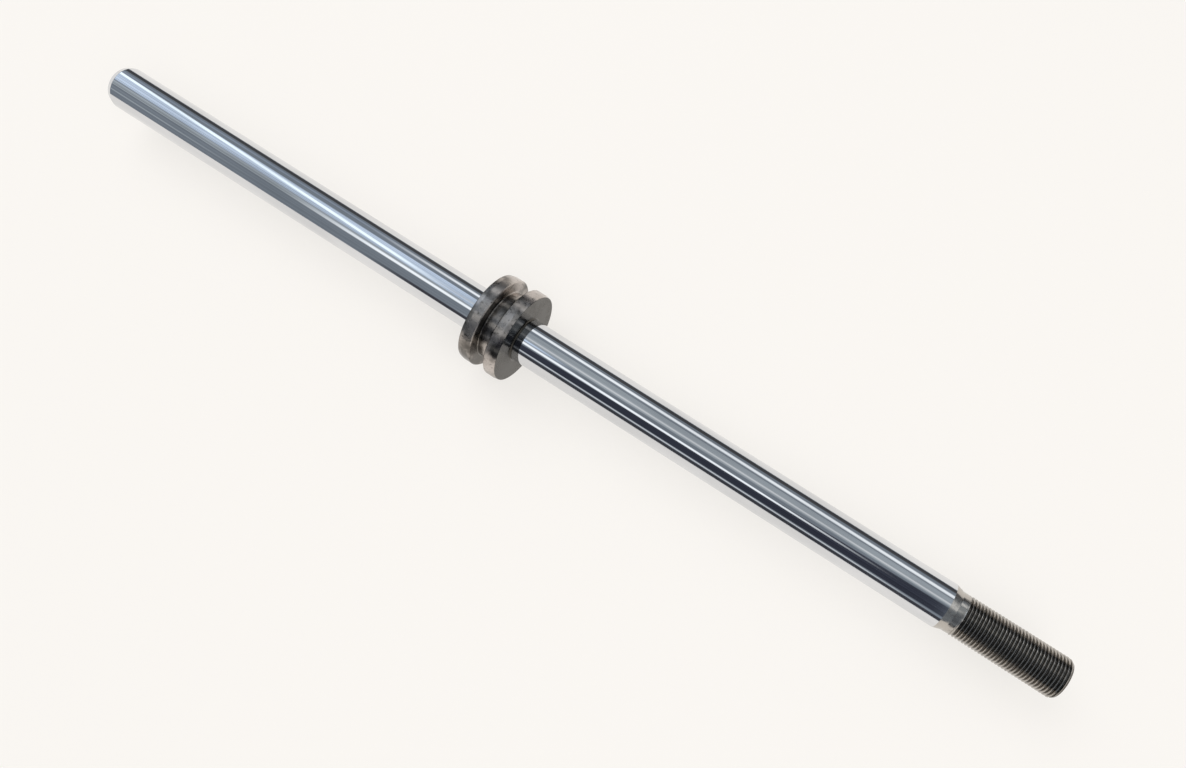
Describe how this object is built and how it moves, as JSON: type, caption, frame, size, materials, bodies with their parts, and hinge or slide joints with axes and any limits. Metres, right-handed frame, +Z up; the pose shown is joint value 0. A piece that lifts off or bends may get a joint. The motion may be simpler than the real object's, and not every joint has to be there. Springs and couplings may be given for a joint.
{
  "type": "stepped shaft",
  "caption": "Chromed piston rod turned as one stepped shaft, with an integral grooved piston, a conical shoulder and a fine-threaded end.",
  "frame": {"origin": "middle of the piston, on the rod's axis", "axes": "+X along the rod's axis, towards the threaded end; +Z up"},
  "size_m": [0.4842, 0.0418, 0.0418],
  "materials": {
    "chrome": "hard chrome, ground and polished",
    "turned_steel": "dark turned steel, lightly stained",
    "thread_steel": "dark oiled steel with bright thread crests"
  },
  "bodies": {
    "root": {"piston_rod": "chrome"}
  },
  "joints": []
}
